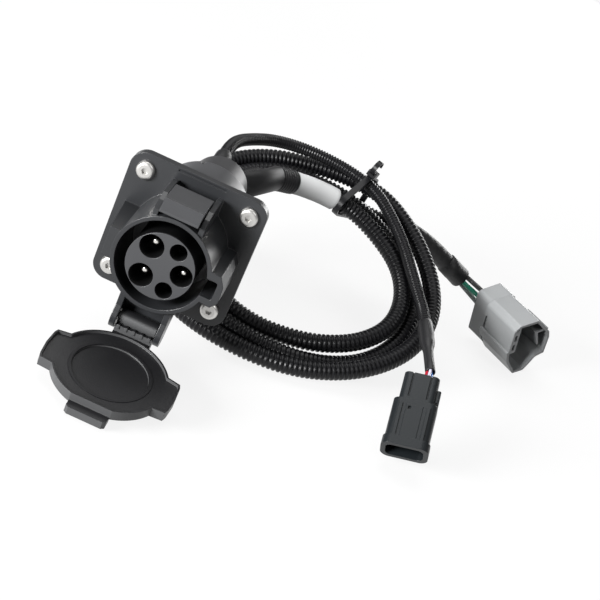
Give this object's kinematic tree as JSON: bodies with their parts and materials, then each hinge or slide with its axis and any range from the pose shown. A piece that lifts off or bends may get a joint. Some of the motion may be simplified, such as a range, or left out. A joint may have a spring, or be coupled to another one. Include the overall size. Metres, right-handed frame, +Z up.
{
  "type": "vehicle charging inlet with cable harness",
  "caption": "Flanged round charging socket with a hinged cover, sprung latch lever and a coiled conduit harness ending in two plug connectors.",
  "frame": {"origin": "centre of the flange's back mounting face", "axes": "+Z up, +X to the right seen from the front, the socket opens towards -Y and the harness leaves towards +Y"},
  "size_m": [0.2474, 0.2747, 0.0941],
  "materials": {
    "housing_plastic": "fine moulded texture, satin",
    "core_plastic": "satin",
    "rear_plastic": "satin",
    "cover_plastic": "fine moulded texture",
    "lever_plastic": "satin",
    "contact_metal": "silver plated",
    "screw_steel": "stainless",
    "pin_steel": "plain",
    "gasket_rubber": "matt",
    "boot_rubber": "matt",
    "conduit_plastic": "glossy",
    "label_white": "matt",
    "tape_black": "matt cloth",
    "shrink_black": "matt",
    "connector_grey": "satin",
    "holder_grey": "satin",
    "connector_black": "satin",
    "lead_black": "smooth",
    "lead_green": "smooth",
    "lead_grey": "smooth",
    "lead_red": "smooth",
    "lead_white": "smooth",
    "lead_blue": "smooth",
    "tie_nylon": "smooth nylon"
  },
  "bodies": {
    "housing": {"front_housing": "housing_plastic", "contact_carrier": "core_plastic", "line_pin": "contact_metal", "neutral_pin": "contact_metal", "ground_pin": "contact_metal", "pilot_pin": "contact_metal", "proximity_pin": "contact_metal", "rear_housing": "rear_plastic", "rear_cap": "rear_plastic", "mounting_screws": "screw_steel", "hinge_pin": "pin_steel", "hinge_spring": "pin_steel", "latch_pin": "pin_steel", "latch_spring": "pin_steel", "power_boot": "boot_rubber", "power_conduit": "conduit_plastic", "label_sleeve": "label_white", "signal_boot": "boot_rubber", "signal_conduit": "conduit_plastic", "power_tape": "tape_black", "signal_sleeve": "shrink_black", "power_connector": "connector_grey", "power_holder": "holder_grey", "power_blades": "contact_metal", "signal_connector": "connector_black", "signal_terminals": "contact_metal", "black_lead": "lead_black", "green_lead": "lead_green", "grey_lead": "lead_grey", "red_lead": "lead_red", "white_lead": "lead_white", "blue_lead": "lead_blue", "contact_retainer": "core_plastic", "cable_tie": "tie_nylon"},
    "cover": {"cover": "cover_plastic", "cover_gasket": "gasket_rubber"},
    "latch": {"latch_lever": "lever_plastic"}
  },
  "joints": [
    {"name": "cover_hinge", "type": "hinge", "parent": "housing", "child": "cover", "pos_m": [0, -0.03245, -0.0351], "axis": [1, 0, 0], "range_deg": [-98.5, 0], "stiffness_Nm_per_rad": 0.01, "springref_deg": 20.05},
    {"name": "latch_rocker", "type": "hinge", "parent": "housing", "child": "latch", "pos_m": [0, -0.023, 0.0272], "axis": [1, 0, 0], "range_deg": [-8, 0], "stiffness_Nm_per_rad": 0.15, "springref_deg": 11.46}
  ]
}
